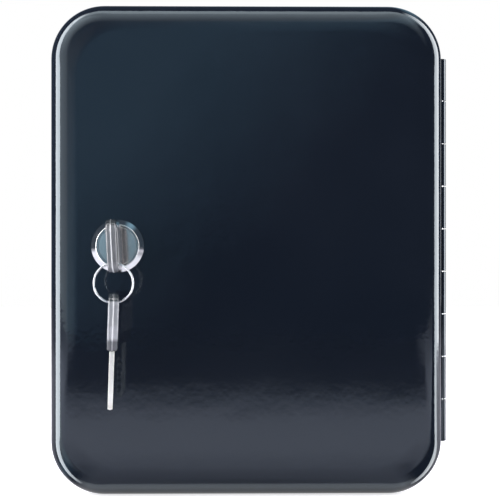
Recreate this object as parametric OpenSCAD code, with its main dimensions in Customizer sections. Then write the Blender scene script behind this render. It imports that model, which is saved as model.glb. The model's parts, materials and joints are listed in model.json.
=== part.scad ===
// Small wall cabinet for keys: a drawn steel body, a drawn door on a piano hinge, a wafer cam lock
// with its key, and a spare key on a split ring. The origin is the centre of the four wall holes, on
// the back face. The door faces -Y, the hinge is on the +X side, and Z is up. Sizes are in millimetres.

/* [Cabinet] */
// Overall width, without the hinge barrel
box_w = 160; // [150:1:220]
// Overall height
box_h = 200; // [180:1:280]
// Depth of the body, from the wall to its rim
body_d = 57.5; // [50:0.5:90]
// Depth of the door, from its rim to its face
door_d = 21.5; // [21:0.5:28]
// Gap between the rims of the body and the closed door
rim_gap = 1; // [0.8:0.1:1.4]
// Radius of the four upright corners
corner_r = 22; // [16:1:26]
// Radius where the face and the back turn into the sides
edge_r = 8; // [4:0.5:9]
// Thickness of the sheet steel
sheet_t = 1; // [0.8:0.1:1.4]

/* [Wall holes] */
// Sideways distance between the wall holes
wall_pitch_x = 100; // [60:1:110]
// Diameter of a wall hole
wall_hole_d = 6.5; // [4:0.5:8]

/* [Piano hinge] */
// How far each end of the hinge's barrel reaches past the straight part of the side
hinge_past = 3; // [0:0.5:4]
// Number of knuckles, an odd number
knuckle_count = 9; // [5:2:13]
// Outer diameter of the hinge barrel
barrel_d = 4.4; // [4:0.1:5.2]
// Diameter of the hinge pin
hinge_pin_d = 2; // [1.6:0.1:2.4]
// Thickness of the hinge leaves
leaf_t = 0.8; // [0.6:0.1:1]
// Width of the part of a leaf that lies on the side wall
leaf_w = 12; // [8:0.5:16]
// Gap between two knuckles
knuckle_gap = 0.4; // [0.2:0.1:0.6]
// Gap between the barrel and the side of the cabinet
barrel_gap = 0.4; // [0.3:0.1:0.8]

/* [Lock] */
// Distance from the left side to the middle of the lock
lock_inset = 28; // [26:0.5:32]
// Height of the lock above the middle of the door
lock_rise = 1.6; // [-10:0.1:10]
// Outer diameter of the bezel
bezel_d = 21.2; // [20:0.1:24]
// How far the bezel stands out of the door
bezel_h = 1.8; // [1.6:0.1:3.4]
// Outer diameter of the flat rim at the front of the bezel
bezel_rim_d = 17; // [16.6:0.1:18]
// Diameter of the threaded barrel of the lock
barrel_thread_d = 18; // [17.5:0.1:18.5]
// Distance across the two flats of the lock barrel
barrel_flats = 16; // [15.6:0.1:16.6]
// How far the lock barrel reaches past the rim of the body
lock_past_rim = 2.5; // [2:0.1:3.5]
// Diameter of the face of the plug
plug_face_d = 15; // [14.6:0.1:15.2]
// Diameter of the shaft of the plug
plug_d = 12; // [11.6:0.1:12.4]
// Depth of the plug's face behind the bezel's rim
plug_sink = 0.5; // [0.3:0.1:1]
// Number of wafers
wafer_count = 6; // [4:1:6]
// Thickness of a wafer
wafer_t = 0.9; // [0.7:0.1:1]
// Distance across the flats of the lock nut
nut_af = 24; // [22:0.5:26]
// Thickness of the lock nut
nut_t = 3.5; // [3:0.1:5]
// Length of the cam, from the plug's axis to its tip
cam_l = 23.5; // [20:0.5:24]
// Width of the cam's arm
cam_w = 12; // [10:0.5:13]
// Thickness of the cam
cam_t = 2; // [1.5:0.1:3]
// Thickness of the stop disc
stop_t = 1; // [0.8:0.1:1.5]
// Turn of the key from open to locked, in degrees
lock_turn = 93; // [80:1:95]
// Thickness of the strike's steel
strike_t = 1.2; // [1:0.1:2]
// Height of the strike
strike_h = 36; // [24:1:50]
// Width of the strike's flange, behind which the cam turns
strike_w = 12; // [9:0.5:12]

/* [Keys] */
// Thickness of a key's blade
blade_t = 1.9; // [1.6:0.1:2.2]
// Width of a key's blade
blade_w = 7.6; // [7:0.1:8]
// Length of a key's blade
blade_l = 22.6; // [21.5:0.1:24]
// Distance from a key's last cut to the start of its tip
cut_margin = 1.4; // [1:0.1:2]
// Width of a key's head
head_w = 20.8; // [19:0.1:24]
// Length of a key's head
head_l = 22.3; // [20:0.1:26]
// Thickness of a key's head
head_t = 4.1; // [3.8:0.1:4.6]
// Width of the slot in a key's head
eye_w = 4.4; // [4:0.1:5]
// Width of the rim round the slot
eye_rim = 2.9; // [2.6:0.1:3.2]
// Turn of the key in the lock away from upright, in degrees
key_lean = 3; // [0:0.5:5]
// Lean of the spare key on the ring, in degrees
spare_lean = 1.9; // [0:0.1:2.5]
// Turn of the spare key about the upright, in degrees
spare_turn = 6.3; // [-8:0.1:8]
// Outer diameter of the split ring
ring_d = 16; // [15.6:0.1:20]
// Width of the ring's wire, seen from the front
ring_wire = 0.8; // [0.7:0.1:0.9]
// Depth of the ring's two turns together
ring_depth = 1.6; // [1.2:0.1:1.8]

/* [Hooks] */
// Number of hook rails
rail_count = 4; // [2:1:4]
// Distance from the ends of the cabinet to the middle of the first and the last rail
rail_margin = 31; // [26:1:34]
// Height of a rail
rail_h = 24; // [22:1:26]
// Thickness of a rail's steel
rail_t = 1; // [0.8:0.1:1.5]
// Number of hooks on a rail
hook_count = 5; // [2:1:5]
// Distance from one hook to the next
hook_pitch = 26; // [20:1:27]
// Width of a hook
hook_w = 3; // [2:0.5:4]
// How far a hook stands out of its rail
hook_l = 11; // [8:0.5:14]
// Height of a hook's upturned tip
hook_tip_h = 6; // [4:0.5:8]
// Thickness of a hook
hook_t = 1.2; // [1:0.1:1.5]
// Diameter of a rivet's shank
rivet_d = 3; // [2.4:0.1:3.4]

/* [Labels and card] */
// Width of a number label
label_w = 11; // [8:0.5:14]
// Height of a number label
label_h = 7; // [5:0.5:8]
// Width of the index card inside the door
card_w = 88; // [60:1:90]
// Height of the index card
card_h = 140; // [80:1:160]

/* [Hidden] */
$fn = 64;

// Colours as the finished pieces have them
paint_black = [0.10, 0.12, 0.15];
chrome = [0.78, 0.80, 0.82];
zinc = [0.62, 0.64, 0.66];
brass = [0.78, 0.62, 0.30];
smoke_grey = [0.28, 0.30, 0.33];
label_white = [0.92, 0.92, 0.90];

// Small sizes that many pieces share
fit = 0.06;
play = 0.15;
seat = 0.3;
far = 40;
hull_fn = 32;

// Places along Y
body_rim_y = -body_d;
joint_y = -(body_d + rim_gap / 2);
door_rim_y = -(body_d + rim_gap);
front_y = door_rim_y - door_d;

// Hinge: the axis stands beside the side wall, in the middle of the gap between the rims
hinge_x = box_w / 2 + barrel_gap + barrel_d / 2;
leaf_l = box_h - 2 * corner_r;
hinge_l = leaf_l + 2 * hinge_past;
leaf_off = 0.1;
knuckle_pitch = hinge_l / knuckle_count;
relief = 0.5;

// Lock, measured outwards from the door's face
lock_x = -box_w / 2 + lock_inset;
lock_len = door_d + rim_gap + lock_past_rim;
barrel_r = barrel_thread_d / 2;
plug_r = plug_d / 2;
plug_face_r = plug_face_d / 2;
face_z = bezel_h - plug_sink;
head_seat_z = -0.5;
keyway_depth = blade_l + seat;
stack_t = stop_t + cam_t;
tenon_w = 6.6;
washer_t = 1;
wafer_w = 4.8;
wafer_r = plug_r - 0.3;
wafer_groove_w = 6.4;
wafer_groove_r = plug_r + 0.8;
wafer_first = 5.5;
spring_x = 3.5;
spring_r = 0.55;
spring_l = 3;
lug_l = spring_x + spring_r - wafer_w / 2 + play;
lug_r = [7.2, 8.1];
lug_half_angle = 8;
lug_angle = 45;
stop_play_angle = 1;
stop_hub_r = 7;
screw_r = 2;
screw_l = 5;
screw_head_r = 3.6;
screw_head_h = 2.2;
screw_slot = [3.6, 0.8, 2.4];
cam_washer_r = 4.6;
cam_washer_t = 0.8;
cam_hub_r = 7.2;
cam_front_y = front_y + lock_len + stop_t;
strike_y = cam_front_y - 0.5 - strike_t;
strike_foot_d = 16;

// Keys, measured along the blade from the shoulder, with the head upwards
tang_l = 12;
tang_w = 5.4;
head_chamfer = 0.9;
head_corner_r = 4.6;
neck_w = 10;
eye_r = eye_w / 2;
eye_z = head_l - eye_rim - eye_r;
eye_half = head_w / 2 - eye_rim;
cut_depths = [0.8, 1.5, 1.1, 0.5, 1.5, 0.9];
cut_shape = [[0.9, 0], [0.35, 1], [-0.35, 1], [-0.9, 0]];
tip_l = 2.5;
tip_w = 2.4;
groove_w = 2.2;
groove_t = 0.45;
groove_z = -0.8;
groove_start = 1.5;
bar_z = head_l - eye_rim - seat - ring_wire / 2;
key_z = face_z + 0.2;
first_cut = key_z - face_z + wafer_first;
wafer_pitch = (blade_l - tip_l - cut_margin - first_cut) / (wafer_count - 1);

// Ring: it hangs in the low end of the eye
ring_r = ring_d / 2 - ring_wire / 2;
hang_r = eye_half - seat - ring_wire / 2;
ring_x = hang_r * sin(key_lean);
ring_top_y = -hang_r * cos(key_lean);
ring_y = ring_top_y - ring_r;

// Hook rails, from the top down, with the holes for their rivets outside the last hooks. The wall
// holes lie midway between the first two rails and between the last two.
rail_places = 4;
rail_pitch = (box_h - 2 * rail_margin) / (rail_places - 1);
wall_pitch_z = 2 * rail_pitch;
rail_end = 12;
rail_l = hook_pitch * (hook_count - 1) + 2 * rail_end;
rail_back_y = -sheet_t;
rail_front_y = -sheet_t - rail_t;
rivet_inset = 5;
rivet_x = rail_l / 2 - rivet_inset;
rivet_head_r = 3;
rivet_head_h = 1.2;
hook_drop = 1;
window_h = 9;
label_drop = 3.4;
label_t = 0.2;
card_t = 0.3;
card_x = 18;

function rail_z(i) = box_h / 2 - rail_margin - i * rail_pitch;
function hook_x(i) = (i - (hook_count - 1) / 2) * hook_pitch;
function wafer_z(i) = face_z - wafer_first - i * wafer_pitch;
function on_circle(r, angle) = r * [cos(angle), sin(angle)];
function arc(r, from, to, steps) = [for (i = [0:steps]) on_circle(r, from + (to - from) * i / steps)];

// Half the cross-section of a drawn pan, with its mouth at y = 0 and its rounded bottom up
module pan_half(half, depth, edge) {
    square([half, depth - edge]);
    square([half - edge, depth]);
    translate([half - edge, depth - edge]) circle(r = edge);
}

// Straight run of a drawn pan, with both its rounded edges
module pan_run(span, run, depth, edge) {
    rotate([90, 0, 0])
        linear_extrude(run, center = true) {
            pan_half(span / 2, depth, edge);
            mirror([1, 0]) pan_half(span / 2, depth, edge);
        }
}

// Solid pan with round upright corners and a round bottom edge, mouth down at z = 0
module pan(width, height, depth, corner, edge) {
    pan_run(width, height - 2 * corner, depth, edge);
    rotate([0, 0, 90]) pan_run(height, width - 2 * corner, depth, edge);
    for (i = [0:3]) {
        side = [[1, 1], [-1, 1], [-1, -1], [1, -1]][i];
        translate([side[0] * (width / 2 - corner), side[1] * (height / 2 - corner), 0])
            rotate([0, 0, 90 * i])
                rotate_extrude(angle = 90) intersection() {
                    pan_half(corner, depth, edge);
                    square([corner, depth]);
                }
    }
}

// Hollow drawn pan of sheet steel
module drawn_pan(depth) {
    difference() {
        pan(box_w, box_h, depth, corner_r, edge_r);
        translate([0, 0, -sheet_t])
            pan(box_w - 2 * sheet_t, box_h - 2 * sheet_t, depth, corner_r - sheet_t, edge_r - sheet_t);
    }
}

// Recess in a rim that lets the hinge leaf out between the two rims
module hinge_relief(toward) {
    reach = far + leaf_off + leaf_t;
    translate([box_w / 2 - 2 * sheet_t, joint_y, -hinge_l / 2 - relief])
        scale([1, toward, 1])
            translate([0, -far, 0]) cube([4 * sheet_t, reach, hinge_l + 2 * relief]);
}

// Frame of the lock: z outwards from the door's face, x to the right, y up
module at_lock(z = 0) {
    translate([lock_x, front_y, lock_rise])
        rotate([90, 0, 0])
            translate([0, 0, z]) children();
}

module body_shell() {
    color(paint_black)
        difference() {
            translate([0, body_rim_y, 0]) rotate([-90, 0, 0]) drawn_pan(body_d);
            hinge_relief(1);
            for (x = [-1, 1] * wall_pitch_x / 2, z = [-1, 1] * wall_pitch_z / 2)
                translate([x, far / 2, z]) rotate([90, 0, 0]) cylinder(d = wall_hole_d, h = far);
            for (i = [0:rail_count - 1], x = [-1, 1] * rivet_x)
                translate([x, far / 2, rail_z(i)])
                    rotate([90, 0, 0]) cylinder(d = rivet_d + 2 * fit, h = far);
        }
}

module door_shell() {
    color(paint_black)
        difference() {
            translate([0, door_rim_y, 0]) rotate([90, 0, 0]) drawn_pan(door_d);
            hinge_relief(-1);
            at_lock(-far / 2)
                linear_extrude(far) intersection() {
                    circle(r = barrel_r + play);
                    square([barrel_flats + 2 * play, far], center = true);
                }
        }
}

// One leaf of the piano hinge: toward is 1 for the body and -1 for the door, own is its first knuckle
module hinge_leaf(toward, own) {
    edge_x = box_w / 2 - sheet_t - leaf_t - hinge_x;
    barrel_clear_x = -(barrel_d / 2 + barrel_gap / 2);
    translate([hinge_x, joint_y, 0])
        scale([1, toward, 1])
            difference() {
                union() {
                    linear_extrude(hinge_l, center = true)
                        translate([edge_x, leaf_off]) square([barrel_clear_x - edge_x, leaf_t]);
                    linear_extrude(leaf_l, center = true)
                        translate([edge_x, leaf_off]) square([leaf_t, leaf_w]);
                    for (i = [own:2:knuckle_count - 1])
                        translate([0, 0, -hinge_l / 2 + i * knuckle_pitch + knuckle_gap / 2])
                            linear_extrude(knuckle_pitch - knuckle_gap) {
                                circle(d = barrel_d);
                                translate([barrel_clear_x, leaf_off]) square([-barrel_clear_x, leaf_t]);
                            }
                }
                cylinder(d = hinge_pin_d + 2 * fit, h = 2 * hinge_l, center = true);
            }
}

module hinge_leaf_body() {
    color(paint_black) hinge_leaf(1, 0);
}

module hinge_leaf_door() {
    color(paint_black) hinge_leaf(-1, 1);
}

module hinge_pin() {
    color(zinc)
        translate([hinge_x, joint_y, 0]) cylinder(d = hinge_pin_d, h = hinge_l, center = true);
}

// Angle welded inside the left wall: the cam turns in behind its flange
module strike_bracket() {
    color(zinc)
        translate([-box_w / 2 + sheet_t, strike_y, lock_rise - strike_h / 2])
            linear_extrude(strike_h) {
                square([strike_w, strike_t]);
                square([strike_t, strike_foot_d]);
            }
}

// Die-cast body of the lock: a cone bezel in front of the door and a threaded barrel behind it
module lock_housing() {
    color(chrome)
        at_lock() difference() {
            union() {
                rotate_extrude() polygon([
                    [0, -lock_len],
                    [barrel_r - 0.5, -lock_len],
                    [barrel_r, -lock_len + 0.5],
                    [barrel_r, 0],
                    [bezel_d / 2, 0],
                    [bezel_d / 2, 0.5],
                    [bezel_rim_d / 2, bezel_h - 0.2],
                    [bezel_rim_d / 2 - 0.2, bezel_h],
                    [0, bezel_h]
                ]);
                translate([0, 0, -lock_len - stop_t + 2 * fit])
                    linear_extrude(2 * stop_t) polygon(concat(
                        arc(lug_r[1], lug_angle - lug_half_angle, lug_angle + lug_half_angle, 4),
                        arc(lug_r[0], lug_angle + lug_half_angle, lug_angle - lug_half_angle, 4)
                    ));
            }
            translate([0, 0, head_seat_z]) cylinder(r = plug_face_r + fit, h = far);
            translate([0, 0, -far]) cylinder(r = plug_r + fit, h = 2 * far);
            translate([0, 0, wafer_z(wafer_count - 1) - wafer_t])
                linear_extrude((wafer_count - 1) * wafer_pitch + 2 * wafer_t)
                    square([wafer_groove_w, 2 * wafer_groove_r], center = true);
            for (s = [-1, 1])
                translate([s * (barrel_flats + far) / 2, 0, -far / 2]) cube([far, far, far], center = true);
        }
}

module lock_washer() {
    color(zinc)
        at_lock(-sheet_t - washer_t) difference() {
            cylinder(d = nut_af + 2, h = washer_t);
            translate([0, 0, -1]) cylinder(r = barrel_r + play, h = washer_t + 2);
        }
}

// Hexagon nut with both ends turned to a chamfer
module lock_nut() {
    corner = nut_af / sqrt(3);
    color(zinc)
        at_lock(-sheet_t - washer_t - nut_t) difference() {
            intersection() {
                cylinder(r = corner, h = nut_t, $fn = 6);
                rotate_extrude() polygon([
                    [0, 0],
                    [nut_af / 2, 0],
                    [corner + 0.1, 0.9],
                    [corner + 0.1, nut_t - 0.9],
                    [nut_af / 2, nut_t],
                    [0, nut_t]
                ]);
            }
            translate([0, 0, -1]) cylinder(r = barrel_r + fit, h = nut_t + 2);
        }
}

// Turning core of the lock, with the keyway, a slot for each wafer and a square end for the cam
module lock_plug() {
    color(chrome)
        at_lock() rotate([0, 0, key_lean]) difference() {
            union() {
                translate([0, 0, head_seat_z + fit])
                    cylinder(r = plug_face_r, h = face_z - head_seat_z - fit);
                translate([0, 0, -lock_len])
                    cylinder(r = plug_r, h = lock_len + head_seat_z + 2 * fit);
                translate([-tenon_w / 2, -tenon_w / 2, -lock_len - stack_t + fit])
                    cube([tenon_w, tenon_w, stack_t]);
            }
            translate([0, 0, face_z - keyway_depth / 2 + far / 2])
                cube([blade_t + 2 * play, blade_w + 2 * play, keyway_depth + far], center = true);
            for (i = [0:wafer_count - 1])
                translate([0, 0, wafer_z(i)]) {
                    cube([wafer_w + play, 3 * plug_r, wafer_t + play], center = true);
                    translate([wafer_w / 2 - play, -spring_l, -spring_r - fit])
                        cube([lug_l + fit, spring_l + wafer_t + play, 2 * (spring_r + fit)]);
                }
            translate([0, 0, -lock_len - stack_t - seat])
                cylinder(r = screw_r, h = screw_l - cam_washer_t + 2 * seat);
        }
}

// Flat brass wafers with a window for the blade and a lug for the spring
module wafers() {
    color(brass)
        at_lock() rotate([0, 0, key_lean])
            for (i = [0:wafer_count - 1])
                translate([0, 0, wafer_z(i) - wafer_t / 2])
                    linear_extrude(wafer_t) {
                        difference() {
                            intersection() {
                                circle(r = wafer_r);
                                square([wafer_w, far], center = true);
                            }
                            square([blade_t + 2 * play, blade_w + 2 * play], center = true);
                        }
                        translate([wafer_w / 2 - play, 0]) square([lug_l, wafer_t]);
                    }
}

// Springs under the wafers' lugs, drawn as closed sleeves because the plug hides them
module wafer_springs() {
    color(zinc)
        at_lock() rotate([0, 0, key_lean])
            for (i = [0:wafer_count - 1])
                translate([spring_x, -spring_l, wafer_z(i)])
                    rotate([-90, 0, 0]) difference() {
                        cylinder(r = spring_r, h = spring_l, $fn = 24);
                        translate([0, 0, -1]) cylinder(r = spring_r - 0.2, h = spring_l + 2, $fn = 24);
                    }
}

// Disc on the plug's square end: its gap runs along the housing's lug and limits the turn
module turn_stop() {
    gap_from = lug_angle - lug_half_angle - stop_play_angle;
    gap_to = lug_angle + lug_half_angle + stop_play_angle + lock_turn;
    color(zinc)
        at_lock(-lock_len - stop_t + fit) linear_extrude(stop_t - fit) difference() {
            union() {
                circle(r = stop_hub_r);
                intersection() {
                    circle(r = lug_r[1]);
                    polygon(concat([[0, 0]], arc(2 * lug_r[1], gap_to, gap_from + 360, 12)));
                }
            }
            rotate(key_lean) square(tenon_w + play, center = true);
        }
}

module lock_cam() {
    color(zinc)
        at_lock(-lock_len - stack_t) rotate([0, 0, key_lean])
            linear_extrude(cam_t) difference() {
                union() {
                    circle(r = cam_hub_r);
                    translate([-cam_w / 2, -cam_l]) square([cam_w, cam_l]);
                }
                square(tenon_w + play, center = true);
            }
}

module cam_washer() {
    color(zinc)
        at_lock(-lock_len - stack_t - cam_washer_t) difference() {
            cylinder(r = cam_washer_r, h = cam_washer_t);
            translate([0, 0, -1]) cylinder(r = screw_r + play, h = cam_washer_t + 2);
        }
}

// Cross-recessed screw that holds the cam on the plug
module cam_screw() {
    dome_r = 5.5;
    top = -screw_head_h;
    color(zinc)
        at_lock(-lock_len - stack_t - cam_washer_t) difference() {
            union() {
                cylinder(r = screw_r - 0.04, h = screw_l);
                intersection() {
                    translate([0, 0, top]) cylinder(r = screw_head_r, h = screw_head_h);
                    translate([0, 0, top + dome_r]) sphere(r = dome_r);
                }
            }
            for (turn = [0, 90])
                rotate([0, 0, turn + 20]) translate([0, 0, top]) cube(screw_slot, center = true);
        }
}

// Blade: cuts for the wafers on one edge, a groove down each side and a tang for the head
module blade() {
    edge = blade_w / 2;
    cuts = [
        for (i = [0:wafer_count - 1], p = cut_shape)
            [edge - p[1] * cut_depths[i], -first_cut - i * wafer_pitch + p[0]]
    ];
    difference() {
        rotate([90, 0, 90])
            linear_extrude(blade_t, center = true) polygon(concat(
                [[-tang_w / 2, tang_l], [-tang_w / 2, 0], [-edge, 0]],
                [[-edge, tip_l - blade_l], [-tip_w / 2, -blade_l]],
                [[tip_w / 2, -blade_l], [edge, tip_l - blade_l]],
                [for (i = [len(cuts) - 1:-1:0]) cuts[i]],
                [[edge, 0], [tang_w / 2, 0], [tang_w / 2, tang_l]]
            ));
        for (s = [-1, 1])
            translate([s * (blade_t - groove_t), groove_z, -blade_l / 2 - groove_start])
                cube([blade_t, groove_w, blade_l], center = true);
    }
}

// One level of the head's outline, drawn in by inset, as a flat slice at height z of its thickness
module head_slice(inset, z) {
    h = 0.02;
    low = head_w * 0.3;
    corner = head_corner_r - inset;
    translate([0, 0, z - h / 2]) {
        for (s = [-1, 1]) {
            translate([s * (head_w / 2 - head_corner_r), head_l - head_corner_r, 0])
                cylinder(r = corner, h = h, $fn = hull_fn);
            translate([s * (head_w / 2 - head_corner_r), low + head_corner_r - 1, 0])
                cylinder(r = corner, h = h, $fn = hull_fn);
        }
        translate([-neck_w / 2 + inset, inset, 0]) cube([neck_w - 2 * inset, 1, h]);
    }
}

// Long eye through the head, widened by grow at height z of the thickness
module eye_slice(grow, z) {
    for (s = [-1, 1])
        translate([s * (eye_half - eye_r), eye_z, z]) cylinder(r = eye_r + grow, h = 0.02, $fn = hull_fn);
}

// Moulded head with chamfered edges, a long eye for the ring and a pocket for the tang
module head() {
    half = head_t / 2;
    difference() {
        rotate([90, 0, 90]) difference() {
            hull() {
                head_slice(head_chamfer, -half + 0.01);
                head_slice(0, -half + head_chamfer);
                head_slice(0, half - head_chamfer);
                head_slice(head_chamfer, half - 0.01);
            }
            hull() {
                eye_slice(0, -half);
                eye_slice(0, half);
            }
            for (s = [-1, 1])
                hull() {
                    eye_slice(0, s * (half - head_chamfer));
                    eye_slice(head_chamfer + 0.1, s * (half + 0.1));
                }
        }
        translate([0, 0, tang_l / 2 + fit - 1])
            cube([blade_t + fit, tang_w + fit, tang_l + 2], center = true);
    }
}

// Places of the two keys: one in the lock, one on the bar of the ring
module in_lock() {
    at_lock(key_z) rotate([0, 0, key_lean]) children();
}

module on_ring() {
    at_lock(key_z + eye_z) translate([ring_x, ring_y - ring_r, 0])
        rotate([-90, 0, 0]) rotate([0, spare_lean, 0]) rotate([0, 0, spare_turn])
            translate([0, 0, -bar_z]) children();
}

module key_blade() {
    color(zinc) in_lock() blade();
}

module key_head() {
    color(smoke_grey) in_lock() head();
}

module spare_key_blade() {
    color(zinc) on_ring() blade();
}

module spare_key_head() {
    color(smoke_grey) on_ring() head();
}

// Split ring: both its turns together have a section with round edges
module split_ring() {
    color(chrome)
        at_lock(key_z + eye_z) translate([ring_x, ring_y, 0])
            rotate_extrude() translate([ring_r, 0]) {
                for (s = [-1, 1])
                    translate([0, s * (ring_depth - ring_wire) / 2]) circle(d = ring_wire, $fn = 32);
                square([ring_wire, ring_depth - ring_wire], center = true);
            }
}

// Steel strip on the back wall with hooks bent out of it, each leaving its window
module hook_rail(i) {
    color(label_white)
        translate([0, 0, rail_z(i)]) difference() {
            union() {
                translate([-rail_l / 2, rail_front_y, -rail_h / 2]) cube([rail_l, rail_t, rail_h]);
                for (k = [0:hook_count - 1])
                    translate([hook_x(k) - hook_w / 2, rail_front_y, -hook_drop]) {
                        translate([0, -hook_l, 0]) cube([hook_w, hook_l + rail_t, hook_t]);
                        translate([0, -hook_l, 0]) cube([hook_w, hook_t, hook_tip_h]);
                    }
            }
            for (k = [0:hook_count - 1])
                translate([hook_x(k) - hook_w / 2 - play, rail_front_y - 1, hook_t - hook_drop])
                    cube([hook_w + 2 * play, rail_t + 2, window_h]);
            for (x = [-1, 1] * rivet_x)
                translate([x, 0, 0]) rotate([90, 0, 0]) cylinder(d = rivet_d + 2 * fit, h = far / 2);
        }
}

// Dome-headed rivets that hold the rails to the back
module rail_rivets() {
    dome_r = (rivet_head_r * rivet_head_r + rivet_head_h * rivet_head_h) / (2 * rivet_head_h);
    color(zinc)
        for (i = [0:rail_count - 1], x = [-1, 1] * rivet_x)
            translate([x, 0, rail_z(i)]) rotate([90, 0, 0]) {
                translate([0, 0, fit]) cylinder(d = rivet_d, h = sheet_t + rail_t + 0.2);
                intersection() {
                    translate([0, 0, sheet_t + rail_t]) cylinder(r = rivet_head_r, h = rivet_head_h);
                    translate([0, 0, sheet_t + rail_t + rivet_head_h - dome_r]) sphere(r = dome_r);
                }
            }
}

// Stickers under the hooks of one rail
module number_labels(i) {
    color(label_white)
        for (k = [0:hook_count - 1])
            translate([hook_x(k) - label_w / 2, rail_front_y - label_t, rail_z(i) - label_drop - label_h])
                cube([label_w, label_t, label_h]);
}

module index_card() {
    color(label_white)
        translate([card_x - card_w / 2, front_y + sheet_t, -card_h / 2]) cube([card_w, card_t, card_h]);
}

body_shell();
door_shell();
hinge_leaf_body();
hinge_leaf_door();
hinge_pin();
strike_bracket();
lock_housing();
lock_washer();
lock_nut();
lock_plug();
wafers();
wafer_springs();
turn_stop();
lock_cam();
cam_washer();
cam_screw();
key_blade();
key_head();
split_ring();
spare_key_blade();
spare_key_head();
for (i = [0:rail_count - 1]) {
    hook_rail(i);
    number_labels(i);
}
rail_rivets();
index_card();
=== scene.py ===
import json
import math

import bmesh
import bpy
from mathutils import Matrix, Vector

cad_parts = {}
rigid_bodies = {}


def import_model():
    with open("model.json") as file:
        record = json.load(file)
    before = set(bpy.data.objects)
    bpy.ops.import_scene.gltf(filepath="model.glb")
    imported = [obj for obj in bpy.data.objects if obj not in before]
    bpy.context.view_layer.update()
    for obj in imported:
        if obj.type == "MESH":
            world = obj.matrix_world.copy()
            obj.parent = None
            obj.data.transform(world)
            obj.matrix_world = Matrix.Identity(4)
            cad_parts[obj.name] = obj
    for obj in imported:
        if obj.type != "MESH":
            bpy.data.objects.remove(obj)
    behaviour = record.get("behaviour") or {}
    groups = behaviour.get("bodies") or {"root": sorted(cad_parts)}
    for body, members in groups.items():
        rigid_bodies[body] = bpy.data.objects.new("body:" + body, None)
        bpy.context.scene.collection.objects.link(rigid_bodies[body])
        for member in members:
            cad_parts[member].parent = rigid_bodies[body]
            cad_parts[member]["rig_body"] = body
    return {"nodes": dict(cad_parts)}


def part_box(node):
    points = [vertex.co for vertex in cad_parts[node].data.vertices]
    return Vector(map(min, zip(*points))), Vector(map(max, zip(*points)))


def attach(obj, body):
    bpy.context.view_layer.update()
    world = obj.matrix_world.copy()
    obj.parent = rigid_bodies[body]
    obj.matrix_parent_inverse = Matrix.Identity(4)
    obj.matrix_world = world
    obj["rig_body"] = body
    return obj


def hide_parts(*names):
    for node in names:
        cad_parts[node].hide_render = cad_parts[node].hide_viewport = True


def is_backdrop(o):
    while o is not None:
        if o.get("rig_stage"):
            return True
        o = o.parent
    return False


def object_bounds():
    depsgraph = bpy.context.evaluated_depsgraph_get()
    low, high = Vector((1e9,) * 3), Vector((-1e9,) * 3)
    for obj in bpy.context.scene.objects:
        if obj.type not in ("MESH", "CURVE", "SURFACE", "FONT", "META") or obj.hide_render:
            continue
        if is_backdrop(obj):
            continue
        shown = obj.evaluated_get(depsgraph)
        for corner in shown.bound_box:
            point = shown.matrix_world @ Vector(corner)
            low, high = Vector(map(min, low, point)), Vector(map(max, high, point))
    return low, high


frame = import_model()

cad_low, cad_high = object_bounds()


# Body of the cabinet: a pan drawn from 1 mm sheet steel and stoved in black semi-gloss paint, which
# leaves a light orange peel. The drawing tool gives its round corners and soft back edge, and the
# holes through its back take the wall screws and the rivets of the hook rails.
mm = 0.001
sheet = 1 * mm
corner_radius = 22 * mm
corner_steps = 20
edge_radius = 8 * mm
edge_steps = 14
cut_edge = 0.12 * mm
wall_hole_radius = 3.25 * mm
wall_hole_x = 50 * mm
wall_hole_z = 46 * mm
rivet_hole_radius = 1.56 * mm
rivet_edge = 3 * mm
hole_reach = 5 * mm
hinge_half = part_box("hinge_pin")[1].z + 0.5 * mm
hinge_relief = 0.4 * mm
hinge_wall = (78 * mm, 82 * mm)
shoulder_corner = 30 * mm
shoulder_start = 3 * mm
shoulder_end = 12 * mm
shoulder_depth = 0.42 * mm
lock_axis = Vector((-52 * mm, -80 * mm, 1.6 * mm))


def show(shape, name):
    """Turns a finished bmesh into a piece of the scene."""
    mesh = bpy.data.meshes.new(name)
    shape.to_mesh(mesh)
    shape.free()
    piece = bpy.data.objects.new(name, mesh)
    bpy.context.scene.collection.objects.link(piece)
    return piece


def settle(piece):
    """Makes the result of the piece's modifiers its own mesh."""
    graph = bpy.context.evaluated_depsgraph_get()
    made = bpy.data.meshes.new_from_object(piece.evaluated_get(graph), depsgraph=graph)
    plain = piece.data
    piece.modifiers.clear()
    piece.data = made
    bpy.data.meshes.remove(plain)


def cut(piece, *tools, keep=False):
    """Cuts the tools' shapes out of a piece, or with keep all but them, and puts the tools away."""
    for tool in tools:
        step = piece.modifiers.new("cut", "BOOLEAN")
        step.operation = "INTERSECT" if keep else "DIFFERENCE"
        step.solver = "EXACT"
        step.object = tool
    settle(piece)
    for tool in tools:
        bpy.data.objects.remove(tool)


def soften(piece, width, angle=35, steps=2):
    """Breaks the sharp edges and shades the rest smooth, with flat faces kept flat."""
    piece.data.shade_smooth()
    edges = piece.modifiers.new("broken_edges", "BEVEL")
    edges.limit_method = "ANGLE"
    edges.angle_limit = math.radians(angle)
    edges.width = width
    edges.segments = steps
    edges.miter_outer = "MITER_ARC"
    edges.use_clamp_overlap = True
    shading = piece.modifiers.new("flat_faces", "WEIGHTED_NORMAL")
    shading.weight = 100
    shading.keep_sharp = False


def cuboid(low, high):
    """A bmesh block between two corners."""
    shape = bmesh.new()
    bmesh.ops.create_cube(shape, size=1)
    bmesh.ops.scale(shape, vec=high - low, verts=shape.verts)
    bmesh.ops.translate(shape, vec=(low + high) / 2, verts=shape.verts)
    return shape


def block(low, high):
    """A plain block between two corners, to cut with."""
    return show(cuboid(Vector(low), Vector(high)), "block")


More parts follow.
